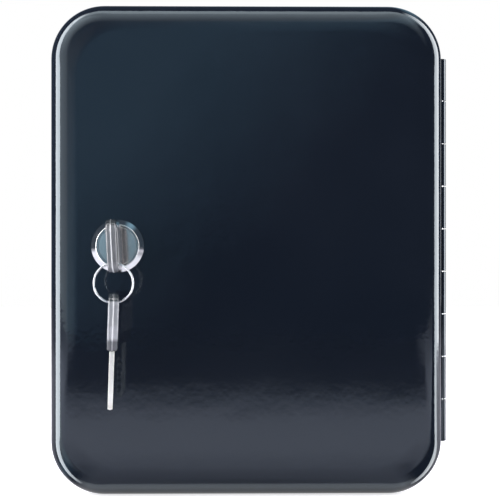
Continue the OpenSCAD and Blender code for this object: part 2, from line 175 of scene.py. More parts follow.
def drill(x, z, radius, low_y, high_y, sides=64):
    """A round bar along Y, for holes."""
    shape = bmesh.new()
    bmesh.ops.create_cone(shape, cap_ends=True, segments=sides, radius1=radius, radius2=radius,
                          depth=high_y - low_y)
    bmesh.ops.rotate(shape, matrix=Matrix.Rotation(math.radians(90), 3, "X"), verts=shape.verts)
    bmesh.ops.translate(shape, vec=(x, (low_y + high_y) / 2, z), verts=shape.verts)
    return show(shape, "drill")


def drawn_pan(name, node_name, closed_y):
    """Sheet steel drawn to a pan with round corners and a soft edge round its closed side."""
    low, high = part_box(node_name)
    shape = cuboid(low, high)
    mouth = [f for f in shape.faces if abs(f.calc_center_median().y - closed_y) > 0.9 * (high.y - low.y)]
    bmesh.ops.delete(shape, geom=mouth, context="FACES_ONLY")
    upright = [e for e in shape.edges if abs(e.verts[0].co.y - e.verts[1].co.y) > sheet]
    bmesh.ops.bevel(shape, geom=upright, offset=corner_radius, offset_type="OFFSET",
                    segments=corner_steps, profile=0.5, affect="EDGES", material=-1)
    rim = [e for e in shape.edges if all(abs(v.co.y - closed_y) < 0.01 * mm for v in e.verts)]
    bmesh.ops.bevel(shape, geom=rim, offset=edge_radius, offset_type="OFFSET",
                    segments=edge_steps, profile=0.5, affect="EDGES", material=-1)
    piece = show(shape, name)
    wall = piece.modifiers.new("wall", "SOLIDIFY")
    wall.thickness = sheet
    wall.offset = -1
    wall.use_even_offset = True
    return piece


def material_of(name):
    """A new node material: the material, its node tree, its shader and the object coordinates."""
    material = bpy.data.materials.new(name)
    material.use_nodes = True
    tree = material.node_tree
    place = tree.nodes.new("ShaderNodeTexCoord").outputs["Object"]
    return material, tree, tree.nodes["Principled BSDF"], place


def node(tree, kind, values, **settings):
    """One shader node, with its inputs linked or set."""
    made = tree.nodes.new(kind)
    for key, value in settings.items():
        setattr(made, key, value)
    for key, value in values.items():
        if isinstance(value, bpy.types.NodeSocket):
            tree.links.new(value, made.inputs[key])
        else:
            made.inputs[key].default_value = value
    return made


def reckon(tree, operation, *values):
    """One step of arithmetic on shader values."""
    return node(tree, "ShaderNodeMath", dict(enumerate(values)), operation=operation).outputs[0]


def reckon_vectors(tree, operation, *values):
    """The same on vectors; the result of some steps is a number."""
    made = node(tree, "ShaderNodeVectorMath", dict(enumerate(values)), operation=operation)
    return made.outputs["Value" if operation in ("DISTANCE", "LENGTH", "DOT_PRODUCT") else "Vector"]


def grain(tree, place, size, detail=3, stretch=(1, 1, 1), rough=0.55):
    """Noise whose blobs are about size across, drawn out by stretch."""
    scaled = node(tree, "ShaderNodeMapping", {"Vector": place, "Scale": [1 / s for s in stretch]})
    values = {"Vector": scaled.outputs["Vector"], "Scale": 1 / size, "Detail": detail, "Roughness": rough}
    return node(tree, "ShaderNodeTexNoise", values).outputs["Fac"]


def spread(tree, factor, low, high, start=0.3, stop=0.7):
    """Takes a value between start and stop, at first the noise's usual range, to low and high."""
    values = {"Value": factor, "From Min": start, "From Max": stop, "To Min": low, "To Max": high}
    return node(tree, "ShaderNodeMapRange", values).outputs["Result"]


def mix(tree, factor, first, second):
    """A colour between two others."""
    made = node(tree, "ShaderNodeMix", {"Factor": factor}, data_type="RGBA")
    for index, value in ((6, first), (7, second)):
        if isinstance(value, bpy.types.NodeSocket):
            tree.links.new(value, made.inputs[index])
        else:
            made.inputs[index].default_value = (*value, 1)
    return made.outputs[2]


def relief(tree, height, depth, under=None):
    """A bump of that depth, over another one if there is one."""
    values = {"Height": height, "Distance": depth, "Strength": 1}
    if under is not None:
        values["Normal"] = under
    return node(tree, "ShaderNodeBump", values).outputs["Normal"]


def wear_round(tree, place, centre, reach):
    """1 at a place that hands and keys rub, falling to 0 at reach from it."""
    distance = reckon_vectors(tree, "DISTANCE", place, centre)
    return spread(tree, distance, 1, 0, reach * 0.2, reach)


def pressed_shoulder(tree, place):
    """0 at the pans' outline to 1 on their flat faces: the soft shoulder that pressing leaves.

    It follows a rounded rectangle whose corners are rounder than the outline's, so it is wider there.
    """
    seen = reckon_vectors(tree, "ABSOLUTE", reckon_vectors(tree, "MULTIPLY", place, (1, 0, 1)))
    corner = (-cad_low.x - shoulder_corner, 0, cad_high.z - shoulder_corner)
    past = reckon_vectors(tree, "SUBTRACT", seen, corner)
    parts = node(tree, "ShaderNodeSeparateXYZ", {"Vector": past}).outputs
    most = reckon(tree, "MAXIMUM", parts["X"], parts["Z"])
    within = reckon(tree, "MINIMUM", most, 0)
    past = reckon_vectors(tree, "LENGTH", reckon_vectors(tree, "MAXIMUM", past, (0, 0, 0)))
    out = reckon(tree, "ADD", past, within)
    values = {"Value": out, "From Min": shoulder_corner - shoulder_start,
              "From Max": shoulder_corner - shoulder_end, "To Min": 0, "To Max": 1}
    return node(tree, "ShaderNodeMapRange", values, interpolation_type="SMOOTHSTEP").outputs["Result"]


def black_paint():
    material, tree, shader, place = material_of("black_stoved_paint")
    clouds = grain(tree, place, 60 * mm, detail=2)
    colour = mix(tree, spread(tree, clouds, 0, 1), (0.0030, 0.0044, 0.0080), (0.0042, 0.0058, 0.0098))
    dust = spread(tree, grain(tree, place, 0.5 * mm, detail=1), 0, 0.10, 0.72, 0.80)
    tree.links.new(mix(tree, dust, colour, (0.16, 0.17, 0.18)), shader.inputs["Base Color"])
    smudges = spread(tree, grain(tree, place, 34 * mm, detail=5, rough=0.6), 0.06, 0.10)
    rubbed = wear_round(tree, place, lock_axis, 30 * mm)
    hairlines = spread(tree, grain(tree, place, 1.2 * mm, detail=2, stretch=(14, 14, 1)), 0, 0.12, 0.6, 0.72)
    scuffs = reckon(tree, "MULTIPLY", hairlines, rubbed)
    rough = reckon(tree, "ADD", smudges, scuffs)
    tree.links.new(rough, shader.inputs["Roughness"])
    peel = relief(tree, grain(tree, place, 2.6 * mm, detail=1.5), 0.022 * mm)
    wave = relief(tree, grain(tree, place, 15 * mm, detail=1), 0.08 * mm, peel)
    shoulder = relief(tree, pressed_shoulder(tree, place), shoulder_depth, wave)
    tree.links.new(shoulder, shader.inputs["Normal"])
    shader.inputs["Specular Tint"].default_value = (0.80, 0.93, 1.0, 1)
    return material


paint = black_paint()
body_low, body_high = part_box("body_shell")
body = drawn_pan("cabinet_body", "body_shell", body_high.y)
soften(body, cut_edge, angle=60)
settle(body)
rail_names = sorted(n for n in frame["nodes"] if n.startswith("hook_rail_"))
rail_heights = [(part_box(n)[0].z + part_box(n)[1].z) / 2 for n in rail_names]
rivet_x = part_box("rail_rivets")[1].x - rivet_edge
holes = [drill(x, z, wall_hole_radius, -hole_reach, hole_reach)
         for x in (-wall_hole_x, wall_hole_x) for z in (-wall_hole_z, wall_hole_z)]
holes += [drill(x, z, rivet_hole_radius, -hole_reach, hole_reach, 32)
          for x in (-rivet_x, rivet_x) for z in rail_heights]
mouth = block((hinge_wall[0], body_low.y - hole_reach, -hinge_half),
              (hinge_wall[1], body_low.y + hinge_relief, hinge_half))
cut(body, mouth, *holes)
body.data.shade_smooth()
body.modifiers.new("flat_faces", "WEIGHTED_NORMAL").weight = 100
body.data.materials.clear()
body.data.materials.append(paint)
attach(body, "body")
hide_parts("body_shell")


# Hinge: a piano hinge of rolled steel strip. Nine knuckles turn on one long pin; each leaf lies flat
# inside its side wall, where spot welds hold it, and was painted with the cabinet.
def worked(node_name, width, material, name=None, angle=35, steps=2):
    """A finished copy of a plain piece: its facets joined to whole faces and its edges broken."""
    plain = frame["nodes"][node_name]
    shape = bmesh.new()
    shape.from_mesh(plain.data)
    bmesh.ops.remove_doubles(shape, verts=shape.verts, dist=0.002 * mm)
    bmesh.ops.dissolve_limit(shape, angle_limit=math.radians(1), verts=shape.verts, edges=shape.edges)
    piece = show(shape, name or node_name + "_finished")
    soften(piece, width, angle, steps)
    piece.data.materials.clear()
    piece.data.materials.append(material)
    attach(piece, plain["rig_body"])
    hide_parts(node_name)
    return piece


def zinc_plate():
    material, tree, shader, place = material_of("bright_zinc_plate")
    spangle = grain(tree, place, 2.5 * mm, detail=3)
    colour = mix(tree, spread(tree, spangle, 0, 1), (0.50, 0.52, 0.54), (0.63, 0.64, 0.64))
    tree.links.new(colour, shader.inputs["Base Color"])
    shader.inputs["Metallic"].default_value = 1
    haze = spread(tree, grain(tree, place, 6 * mm, detail=5), 0.26, 0.42)
    tree.links.new(haze, shader.inputs["Roughness"])
    rolled = relief(tree, grain(tree, place, 0.35 * mm, detail=2, stretch=(1, 1, 12)), 0.006 * mm)
    tree.links.new(rolled, shader.inputs["Normal"])
    return material


zinc = zinc_plate()
leaves = [worked(leaf, 0.15 * mm, paint) for leaf in ("hinge_leaf_body", "hinge_leaf_door")]
worked("hinge_pin", 0.25 * mm, zinc)


# Strike: a small zinc-plated angle, spot-welded inside the left wall, behind which the cam turns.
worked("strike_bracket", 0.25 * mm, zinc)


# Hook rails: four strips of 1 mm steel in pale grey paint. Each has five hooks cut and bent out of it,
# so a window is left above every hook. Two dome-headed rivets hold each rail to the back.
def grey_paint():
    material, tree, shader, place = material_of("pale_grey_paint")
    clouds = grain(tree, place, 25 * mm, detail=3)
    colour = mix(tree, spread(tree, clouds, 0, 1), (0.56, 0.57, 0.58), (0.64, 0.645, 0.64))
    shade = spread(tree, grain(tree, place, 1.2 * mm, detail=4), 0, 0.25, 0.62, 0.75)
    tree.links.new(mix(tree, shade, colour, (0.42, 0.43, 0.44)), shader.inputs["Base Color"])
    gloss = spread(tree, grain(tree, place, 8 * mm, detail=4), 0.30, 0.42)
    tree.links.new(gloss, shader.inputs["Roughness"])
    tree.links.new(relief(tree, grain(tree, place, 1.6 * mm, detail=2), 0.012 * mm), shader.inputs["Normal"])
    return material


grey = grey_paint()
for rail in rail_names:
    worked(rail, 0.2 * mm, grey)
worked("rail_rivets", 0.12 * mm, zinc)


# Number labels: white self-adhesive film with round corners under each hook, printed 1 to 20 in black.
label_corner = 0.9 * mm
label_width = 11 * mm
hook_count = 5
print_height = 5 * mm
print_proud = 0.03 * mm


def rounded_slab(name, low, high, corner):
    """A thin upright slab facing -Y with round corners, such as a sticker or a card."""
    shape = cuboid(low, high)
    depth = high.y - low.y
    through = [e for e in shape.edges if abs(abs(e.verts[0].co.y - e.verts[1].co.y) - depth) < depth / 10]
    bmesh.ops.bevel(shape, geom=through, offset=corner, offset_type="OFFSET", segments=5, profile=0.5,
                    affect="EDGES", material=-1)
    return show(shape, name)


def printed(numbers, name, material, facing=1):
    """Printed figures on an upright face: facing 1 is read from -Y and -1 from +Y."""
    parts = []
    for text, size, place in numbers:
        curve = bpy.data.curves.new("figure", "FONT")
        curve.body = text
        curve.size = size
        curve.align_x = "CENTER"
        curve.align_y = "CENTER"
        curve.resolution_u = 4
        curve.extrude = print_proud / 2
        figure = bpy.data.objects.new("figure", curve)
        bpy.context.scene.collection.objects.link(figure)
        graph = bpy.context.evaluated_depsgraph_get()
        mesh = bpy.data.meshes.new_from_object(figure.evaluated_get(graph), depsgraph=graph)
        stand = Matrix.Rotation(math.radians(90), 4, "X")
        turn = Matrix.Rotation(math.radians(0 if facing > 0 else 180), 4, "Z")
        mesh.transform(Matrix.Translation(place) @ turn @ stand)
        bpy.data.objects.remove(figure)
        bpy.data.curves.remove(curve)
        parts.append(mesh)
    shape = bmesh.new()
    for mesh in parts:
        shape.from_mesh(mesh)
        bpy.data.meshes.remove(mesh)
    piece = show(shape, name)
    piece.data.materials.clear()
    piece.data.materials.append(material)
    return piece


def film():
    material, tree, shader, place = material_of("white_label_film")
    clouds = grain(tree, place, 5 * mm, detail=4)
    colour = mix(tree, spread(tree, clouds, 0, 1), (0.80, 0.80, 0.77), (0.86, 0.86, 0.84))
    tree.links.new(colour, shader.inputs["Base Color"])
    tree.links.new(spread(tree, clouds, 0.38, 0.5), shader.inputs["Roughness"])
    tree.links.new(relief(tree, grain(tree, place, 0.6 * mm), 0.004 * mm), shader.inputs["Normal"])
    return material


def ink():
    material, tree, shader, place = material_of("black_print")
    spots = spread(tree, grain(tree, place, 0.4 * mm, detail=2), 0, 1, 0.35, 0.8)
    tree.links.new(mix(tree, spots, (0.012, 0.012, 0.014), (0.05, 0.05, 0.055)), shader.inputs["Base Color"])
    tree.links.new(spread(tree, spots, 0.4, 0.55, 0, 1), shader.inputs["Roughness"])
    return material


white_film = film()
black_ink = ink()
figures = []
for row, label in enumerate(sorted(n for n in frame["nodes"] if n.startswith("number_labels_"))):
    low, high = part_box(label)
    pitch = (high.x - low.x - label_width) / (hook_count - 1)
    stickers = bmesh.new()
    for k in range(hook_count):
        corner = Vector((low.x + k * pitch, low.y, low.z))
        far_corner = Vector((corner.x + label_width, high.y, high.z))
        sticker = rounded_slab("sticker", corner, far_corner, label_corner)
        stickers.from_mesh(sticker.data)
        bpy.data.objects.remove(sticker)
        middle = Vector((corner.x + label_width / 2, low.y - print_proud / 2, (low.z + high.z) / 2))
        figures.append((str(row * hook_count + k + 1), print_height, middle))
    stickers = show(stickers, label + "_stickers")
    stickers.data.materials.clear()
    stickers.data.materials.append(white_film)
    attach(stickers, "body")
    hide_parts(label)
hook_figures = printed(figures, "hook_figures", black_ink)
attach(hook_figures, "body")


# Door: a second drawn pan, as wide and high as the body, with a soft edge round its face. It is
# pierced on the left for the flatted barrel of the lock, and is painted with the body.
lock_hole_radius = 9.15 * mm
lock_hole_flat = 8.15 * mm
lock_hole_reach = 10 * mm
door_low, door_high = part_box("door_shell")
door = drawn_pan("cabinet_door", "door_shell", door_low.y)
soften(door, cut_edge, angle=60)
settle(door)
lock_hole = drill(lock_axis.x, lock_axis.z, lock_hole_radius,
                  lock_axis.y - lock_hole_reach, lock_axis.y + lock_hole_reach, 96)
cut(lock_hole, block((lock_axis.x - lock_hole_flat, -95 * mm, -20 * mm),
                     (lock_axis.x + lock_hole_flat, -65 * mm, 20 * mm)), keep=True)
mouth = block((hinge_wall[0], door_high.y - hinge_relief, -hinge_half),
              (hinge_wall[1], door_high.y + hole_reach, hinge_half))
cut(door, mouth, lock_hole)
door.data.shade_smooth()
door.modifiers.new("flat_faces", "WEIGHTED_NORMAL").weight = 100
door.data.materials.clear()
door.data.materials.append(paint)
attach(door, "door")
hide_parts("door_shell")


# Index card: white coated card stuck inside the door, ruled in two columns for the names of the keys.
card_corner = 2 * mm
card_rows = 10
card_margins = 16 * mm
card_head = 11 * mm
figure_inset = 5 * mm
figure_height = 4.2 * mm
line_half = 0.12 * mm
line_blur = 0.2 * mm
card_low, card_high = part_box("index_card")
row_pitch = (card_high.z - card_low.z - card_margins) / card_rows
first_row = card_high.z - card_head


def ruled_card():
    material, tree, shader, place = material_of("ruled_white_card")
    fibres = grain(tree, place, 0.8 * mm, detail=5)
    colour = mix(tree, spread(tree, fibres, 0, 1), (0.79, 0.79, 0.75), (0.85, 0.85, 0.82))
    upright = node(tree, "ShaderNodeSeparateXYZ", {"Vector": place}).outputs["Z"]
    line_low = first_row - row_pitch / 2
    away = reckon(tree, "SUBTRACT", upright, line_low)
    nearest = reckon(tree, "PINGPONG", away, row_pitch / 2)
    line = spread(tree, nearest, 0.75, 0, line_half, line_blur)
    tree.links.new(mix(tree, line, colour, (0.25, 0.30, 0.38)), shader.inputs["Base Color"])
    tree.links.new(spread(tree, fibres, 0.5, 0.62), shader.inputs["Roughness"])
    tree.links.new(relief(tree, fibres, 0.01 * mm), shader.inputs["Normal"])
    return material


card = rounded_slab("index_card_sheet", card_low, card_high, card_corner)
card.data.materials.clear()
card.data.materials.append(ruled_card())
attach(card, "door")
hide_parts("index_card")
card_middle = (card_low.x + card_high.x) / 2
columns = (card_high.x - figure_inset, card_middle - figure_inset)
entries = [(str(column * card_rows + row + 1), figure_height,
            Vector((x, card_high.y + print_proud / 2, first_row - row * row_pitch)))
           for column, x in enumerate(columns) for row in range(card_rows)]
card_figures = printed(entries, "card_figures", black_ink, facing=-1)
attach(card_figures, "door")


# Lock housing: a zinc die casting with bright chrome plate. Its flat rim and cone stand in front of the
# door, and its threaded barrel, with a flat on each side, goes through the door.
bezel_radius = 10.6 * mm
bezel_lip = 0.5 * mm
cone_top = 1.25 * mm
rim_radius = 8.75 * mm
rim_front = 1.8 * mm
bead_half = 0.3 * mm
groove_depth = 0.35 * mm
rim_inner = 7.56 * mm
rim_break = 0.12 * mm
plug_seat = -0.5 * mm
barrel_radius = 9 * mm
thread_pitch = 1.25 * mm
thread_depth = 0.45 * mm
thread_crest = 0.04 * mm
thread_start = 0.6 * mm
thread_end = 1.8 * mm
barrel_length = 25 * mm
bore_radius = 6.06 * mm
flat_half = 8 * mm
turn_steps = 128


def turned(name, outline, steps=turn_steps):
    """Turns an outline of (radius, height) points round the lock's axis, heights out of the door."""
    shape = bmesh.new()
    points = [shape.verts.new((r, -h, 0)) for r, h in outline]
    rings = [shape.edges.new(pair) for pair in zip(points, points[1:] + points[:1])]
    bmesh.ops.spin(shape, geom=points + rings, cent=(0, 0, 0), axis=(0, 1, 0), dvec=(0, 0, 0),
                   angle=math.tau, steps=steps, use_merge=True)
    bmesh.ops.remove_doubles(shape, verts=shape.verts, dist=0.001 * mm)
    bmesh.ops.recalc_face_normals(shape, faces=shape.faces)
    bmesh.ops.translate(shape, vec=lock_axis, verts=shape.verts)
    return show(shape, name)


def chrome_plate(name, low, high):
    material, tree, shader, place = material_of(name)
    clouds = grain(tree, place, 3 * mm, detail=3)
    colour = mix(tree, spread(tree, clouds, 0, 1), low, high)
    tree.links.new(colour, shader.inputs["Base Color"])
    shader.inputs["Metallic"].default_value = 1
    handled = spread(tree, grain(tree, place, 2.2 * mm, detail=6), 0.07, 0.16)
    tree.links.new(handled, shader.inputs["Roughness"])
    cast = relief(tree, grain(tree, place, 1.4 * mm, detail=2), 0.006 * mm)
    scratches = relief(tree, grain(tree, place, 0.12 * mm, detail=2, stretch=(18, 18, 1)), 0.0015 * mm, cast)
    tree.links.new(scratches, shader.inputs["Normal"])
    return material


chrome = chrome_plate("bright_chrome_plate", (0.47, 0.485, 0.49), (0.52, 0.54, 0.54))
outline = [(bore_radius, -barrel_length), (barrel_radius - thread_start, -barrel_length)]
turns = int((barrel_length - thread_start - thread_end) / thread_pitch)
for k in range(turns):
    height = -barrel_length + thread_start + k * thread_pitch
    outline += [(barrel_radius - thread_depth, height),
                (barrel_radius - thread_crest, height + 0.45 * thread_pitch),
                (barrel_radius - thread_crest, height + 0.55 * thread_pitch)]
outline += [(barrel_radius - thread_depth, -barrel_length + thread_start + turns * thread_pitch),
            (barrel_radius - thread_depth, 0), (bezel_radius, 0), (bezel_radius, bezel_lip),
            (rim_radius, cone_top)]
outline += [(rim_radius - bead_half * (1 - math.cos(math.radians(a))),
             rim_front - bead_half * (1 - math.sin(math.radians(a)))) for a in range(10, 180, 16)]
outline += [(rim_radius - 2 * bead_half, rim_front - groove_depth),
            (rim_inner + rim_break, rim_front - groove_depth),
            (rim_inner, rim_front - groove_depth - rim_break), (rim_inner, plug_seat),
            (bore_radius, plug_seat)]
housing = turned("lock_housing_plated", outline)
wide = 20 * mm
barrel_flats = [block((lock_axis.x + side * flat_half - (wide if side < 0 else 0), lock_axis.y, -wide),
                      (lock_axis.x + side * flat_half + (wide if side > 0 else 0),
                       lock_axis.y + 2 * wide, wide))
                for side in (-1, 1)]
cut(housing, *barrel_flats)
lug = worked("lock_housing", 0.1 * mm, chrome, "lock_housing_lug")
cut(lug, block((lock_axis.x - wide, lock_axis.y - wide, -wide),
               (lock_axis.x + wide, lock_axis.y + barrel_length - 0.02 * mm, wide)))
housing.data.shade_smooth()
housing.data.set_sharp_from_angle(angle=math.radians(25))
housing.data.materials.clear()
housing.data.materials.append(chrome)
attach(housing, "door")
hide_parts("lock_housing")


# Lock washer and nut: zinc-plated steel. The nut clamps the lock in the door from inside.
worked("lock_washer", 0.2 * mm, zinc)
worked("lock_nut", 0.25 * mm, zinc)


# Plug of the lock: the part that the key turns. Its plated face is a little sunk in the bezel and has
# the upright keyway; six brass wafers on small springs lie in its slots.
turned_chrome = chrome_plate("turned_chrome_plate", (0.72, 0.65, 0.61), (0.79, 0.72, 0.675))
worked("lock_plug", 0.12 * mm, turned_chrome)


def stamped_brass():
    material, tree, shader, place = material_of("stamped_brass")
    clouds = grain(tree, place, 1.5 * mm, detail=4)
    colour = mix(tree, spread(tree, clouds, 0, 1), (0.66, 0.46, 0.18), (0.80, 0.62, 0.30))
    tree.links.new(colour, shader.inputs["Base Color"])
    shader.inputs["Metallic"].default_value = 1
    tree.links.new(spread(tree, clouds, 0.22, 0.38), shader.inputs["Roughness"])
    tree.links.new(relief(tree, grain(tree, place, 0.3 * mm), 0.004 * mm), shader.inputs["Normal"])
    return material


brass = stamped_brass()
worked("wafers", 0.06 * mm, brass)
worked("wafer_springs", 0.05 * mm, zinc)


# Stop disc, cam, washer and screw: zinc-plated steel parts on the plug's square end. The stop disc's
# gap runs along the housing's lug, and the screw holds the cam on.
for steel_part in ("turn_stop", "lock_cam", "cam_washer", "cam_screw"):
    worked(steel_part, 0.15 * mm, zinc)


# Key blades: flat keys stamped from brass and nickel-plated, with a milled groove down each side and
# cuts for the wafers on one edge.
def nickel_plate():
    material, tree, shader, place = material_of("satin_nickel_plate")
    clouds = grain(tree, place, 2 * mm, detail=4)
    colour = mix(tree, spread(tree, clouds, 0, 1), (0.91, 0.90, 0.82), (0.98, 0.97, 0.90))
    tree.links.new(colour, shader.inputs["Base Color"])
    shader.inputs["Metallic"].default_value = 1
    tree.links.new(spread(tree, clouds, 0.42, 0.52), shader.inputs["Roughness"])
    brushed = relief(tree, grain(tree, place, 0.2 * mm, detail=3, stretch=(1, 1, 8)), 0.01 * mm)
    tree.links.new(brushed, shader.inputs["Normal"])
    return material


nickel = nickel_plate()
for blade in ("key_blade", "spare_key_blade"):
    worked(blade, 0.1 * mm, nickel)


# Key heads: smoked see-through plastic moulded round the blade's tang, with rounded edges, a fine
# parting line round the middle and a long eye for the ring.
head_width = 20.8 * mm
head_length = 22.3 * mm
head_thickness = 4.1 * mm
head_round = 0.9 * mm
head_corner = 4.6 * mm
neck_width = 10 * mm
neck_corner = 1 * mm
shoulder_height = 7 * mm
eye_rim = 2.9 * mm
eye_width = 4.4 * mm
parting_height = 0.16 * mm
parting_width = 0.4 * mm
tang_pocket = (1.96 * mm, 5.46 * mm, 12 * mm)
zone_blur = (1.5 * mm, 0.8 * mm)


def head_outline(shape, inset, depth):
    """The head's flat outline, drawn in by inset, at that depth of its thickness."""
    half = head_width / 2 - inset
    neck = neck_width / 2 - inset
    points = [(-neck, inset), (neck, inset), (half, shoulder_height), (half, head_length - inset),
              (-half, head_length - inset), (-half, shoulder_height)]
    corners = [shape.verts.new((depth, x, z)) for x, z in points]
    return shape.faces.new(corners), corners


def moulded_head(name, inset, thickness):
    """A key head along +Z from the blade's shoulder, with its thickness along X."""
    shape = bmesh.new()
    face, corners = head_outline(shape, inset, -thickness / 2)
    grown = bmesh.ops.extrude_face_region(shape, geom=[face])
    lifted = [v for v in grown["geom"] if isinstance(v, bmesh.types.BMVert)]
    bmesh.ops.translate(shape, vec=(thickness, 0, 0), verts=lifted)
    across = [e for e in shape.edges if abs(e.verts[0].co.x - e.verts[1].co.x) > thickness / 2]
    top = [e for e in across if e.verts[0].co.z > head_length / 2]
    side = [e for e in across if head_length / 2 > e.verts[0].co.z > shoulder_height / 2]
    low = [e for e in across if e.verts[0].co.z < shoulder_height / 2]
    for edges, radius in ((top, head_corner), (side, head_corner * 0.8), (low, neck_corner)):
        bmesh.ops.bevel(shape, geom=edges, offset=radius, offset_type="OFFSET", segments=8, profile=0.5,
                        affect="EDGES", material=-1)
    bmesh.ops.recalc_face_normals(shape, faces=shape.faces)
    return show(shape, name)


def fuse(piece, other):
    """Makes one closed skin of two pieces that run into each other."""
    step = piece.modifiers.new("fuse", "BOOLEAN")
    step.operation = "UNION"
    step.solver = "EXACT"
    step.object = other
    settle(piece)
    bpy.data.objects.remove(other)


def eye_tool():
    """The long eye as a bar across the head's thickness."""
    half = head_width / 2 - eye_rim
    top = head_length - eye_rim
    shape = cuboid(Vector((-2 * head_thickness, -half, top - eye_width)),
                   Vector((2 * head_thickness, half, top)))
    across = [e for e in shape.edges if abs(e.verts[0].co.x - e.verts[1].co.x) > head_thickness]
    bmesh.ops.bevel(shape, geom=across, offset=eye_width / 2 * 0.98, offset_type="OFFSET", segments=8,
                    profile=0.5, affect="EDGES", material=-1)
    return show(shape, "eye_tool")


def smoked_plastic(name, upright, across, origin, zone, tone):
    """Smoked plastic whose colour carries painted light: a painted highlight along the parting line,
    and inside zone a lighter band of painted reflection, with painted shade outside it.

    Zone is two distances from origin, the blade's shoulder, along upright.
    """
    material, tree, shader, place = material_of(name)
    from_shoulder = reckon_vectors(tree, "SUBTRACT", place, origin)
    along = reckon_vectors(tree, "DOT_PRODUCT", from_shoulder, upright)
    aside = reckon(tree, "ABSOLUTE", reckon_vectors(tree, "DOT_PRODUCT", from_shoulder, across))
    swirl = grain(tree, place, 5 * mm, detail=2)
    clear = mix(tree, spread(tree, swirl, 0, 1), tone, [1.28 * part for part in tone])
    # Painted reflection: the plastic is lighter inside zone, and outside it darker, which is painted shade.
    painted_reflection = reckon(tree, "MULTIPLY", spread(tree, along, 0.25, 1, zone[0], zone[0] + zone_blur[0]),
                   spread(tree, along, 1, 0, zone[1] - zone_blur[1], zone[1]))
    body_colour = mix(tree, painted_reflection, (0.022, 0.027, 0.032), clear)
    # Painted highlight: the parting line is coloured pale, most strongly inside zone.
    painted_crest_highlight = spread(tree, aside, 0.9, 0, parting_width * 0.4, parting_width * 0.75)
    painted_crest_highlight = reckon(tree, "MULTIPLY", painted_crest_highlight, spread(tree, painted_reflection, 0.15, 1, 0, 1))
    tree.links.new(mix(tree, painted_crest_highlight, body_colour, (0.74, 0.76, 0.78)), shader.inputs["Base Color"])
    shader.inputs["Transmission Weight"].default_value = 0.25
    shader.inputs["IOR"].default_value = 1.49
    tree.links.new(spread(tree, grain(tree, place, 2 * mm, detail=4), 0.10, 0.2), shader.inputs["Roughness"])
    tree.links.new(relief(tree, grain(tree, place, 1.5 * mm, detail=2), 0.01 * mm), shader.inputs["Normal"])
    return material


key_lean = math.radians(3)
spare_lean = math.radians(1.9)
spare_turn = math.radians(6.3)
shoulder_gap = 1.5 * mm
hang_gap = 0.42 * mm
shoulder = lock_axis - Vector((0, shoulder_gap, 0))
in_lock = (Matrix.Translation(shoulder) @ Matrix.Rotation(-key_lean, 4, "Y")
           @ Matrix.Rotation(math.radians(90), 4, "X"))
ring_low, ring_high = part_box("split_ring")
ring_centre = (ring_low + ring_high) / 2
ring_wire = 0.4 * mm
ring_radius = (ring_high.x - ring_low.x) / 2 - ring_wire
bar_height = head_length - eye_rim - hang_gap - ring_wire
on_ring = (Matrix.Translation(ring_centre - Vector((0, 0, ring_radius))) @ Matrix.Rotation(spare_lean, 4, "Y")
           @ Matrix.Rotation(spare_turn, 4, "Z") @ Matrix.Translation(Vector((0, 0, -bar_height))))
# Each key's band of painted reflection in its head, as distances from the blade's shoulder.
painted_band_in_lock = (-12 * mm, 8.4 * mm)
painted_band_on_spare = (4 * mm, head_length - 2.4 * mm)
# The head in the lock gets a darker tone than the spare's, which is painted shade on the same plastic.
for head_node, place, up, zone, tone in (
        ("key_head", in_lock, (0, 1, 0), painted_band_in_lock, (0.14, 0.148, 0.156)),
        ("spare_key_head", on_ring, (0, 0, 1), painted_band_on_spare, (0.26, 0.275, 0.29))):
    head = moulded_head(head_node + "_moulded", parting_height, head_thickness)
    cut(head, eye_tool())
    soften(head, head_round, angle=50, steps=5)
    settle(head)
    ridge = moulded_head("parting_line", 0, parting_width)
    cut(ridge, eye_tool())
    soften(ridge, 0.15 * mm, angle=50, steps=3)
    settle(ridge)
    fuse(head, ridge)
    cut(head, block((-tang_pocket[0] / 2, -tang_pocket[1] / 2, -1 * mm),
                    (tang_pocket[0] / 2, tang_pocket[1] / 2, tang_pocket[2])))
    head.data.transform(place)
    head.data.shade_smooth()
    head.modifiers.new("flat_faces", "WEIGHTED_NORMAL").weight = 100
    upright = (place.to_3x3() @ Vector(up)).normalized()
    across = (place.to_3x3() @ Vector((1, 0, 0))).normalized()
    head.data.materials.clear()
    head.data.materials.append(smoked_plastic("smoked_plastic_of_" + head_node, upright, across,
                                              place.translation, zone, tone))
    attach(head, frame["nodes"][head_node]["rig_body"])
    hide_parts(head_node)


# Split ring: two turns of bright spring wire side by side, with one short jog where they change over.
jog = math.radians(36)
jog_steps = 10
ring_steps = 72
wire_sides = 12
wire_gap = 0.01 * mm
wire_end = math.radians(200)
shape = bmesh.new()
wire = ring_wire - wire_gap
section = bmesh.ops.create_circle(shape, cap_ends=False, segments=wire_sides, radius=wire)["verts"]
bmesh.ops.translate(shape, vec=(ring_radius, -ring_wire, 0), verts=section)
geometry = list(section) + list(shape.edges)
one_turn = (math.tau - jog, 0, ring_steps)
for angle, rise, steps in (one_turn, (jog, 2 * ring_wire, jog_steps), one_turn):
    made = bmesh.ops.spin(shape, geom=geometry, cent=(0, 0, 0), axis=(0, 1, 0), dvec=(0, rise / steps, 0),
                          angle=angle, steps=steps, use_merge=False)
    geometry = made["geom_last"]
bmesh.ops.holes_fill(shape, edges=[e for e in shape.edges if e.is_boundary], sides=16)
bmesh.ops.recalc_face_normals(shape, faces=shape.faces)
bmesh.ops.rotate(shape, cent=(0, 0, 0), matrix=Matrix.Rotation(wire_end, 3, "Y"), verts=shape.verts)
bmesh.ops.translate(shape, vec=ring_centre, verts=shape.verts)
ring = show(shape, "split_ring_wound")


